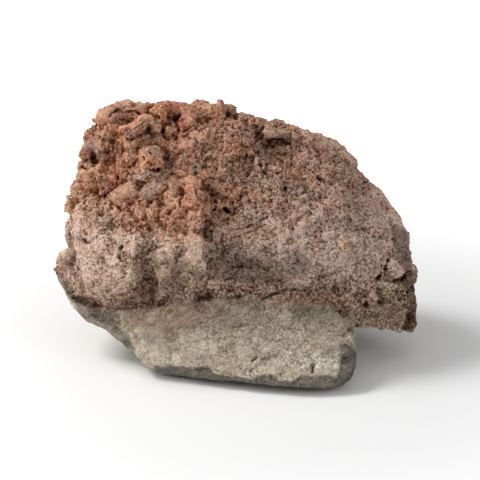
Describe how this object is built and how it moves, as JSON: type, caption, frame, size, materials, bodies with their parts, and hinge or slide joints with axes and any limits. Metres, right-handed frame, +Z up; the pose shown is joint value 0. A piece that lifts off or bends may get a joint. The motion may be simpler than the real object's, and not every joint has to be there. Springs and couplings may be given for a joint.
{
  "type": "vesicular lava rock",
  "caption": "Rough vesicular lava rock: red-brown clinkery scoria grown onto a dense grey sole with a flat foot, resting unheld as a specimen.",
  "frame": {"origin": "the point of the resting plane under the middle of the bounding box", "axes": "+Z up, +X along the length of the stone towards its low overhanging end, -Y out of the broken front where the sole shows"},
  "size_m": [0.16, 0.104, 0.11],
  "materials": {
    "lava": "rough and matt: red-brown clinker at the top, pinkish grey pitted rock below it, grey-beige fine-grained sole"
  },
  "bodies": {
    "root": {"lava_rock": "lava"}
  },
  "joints": []
}
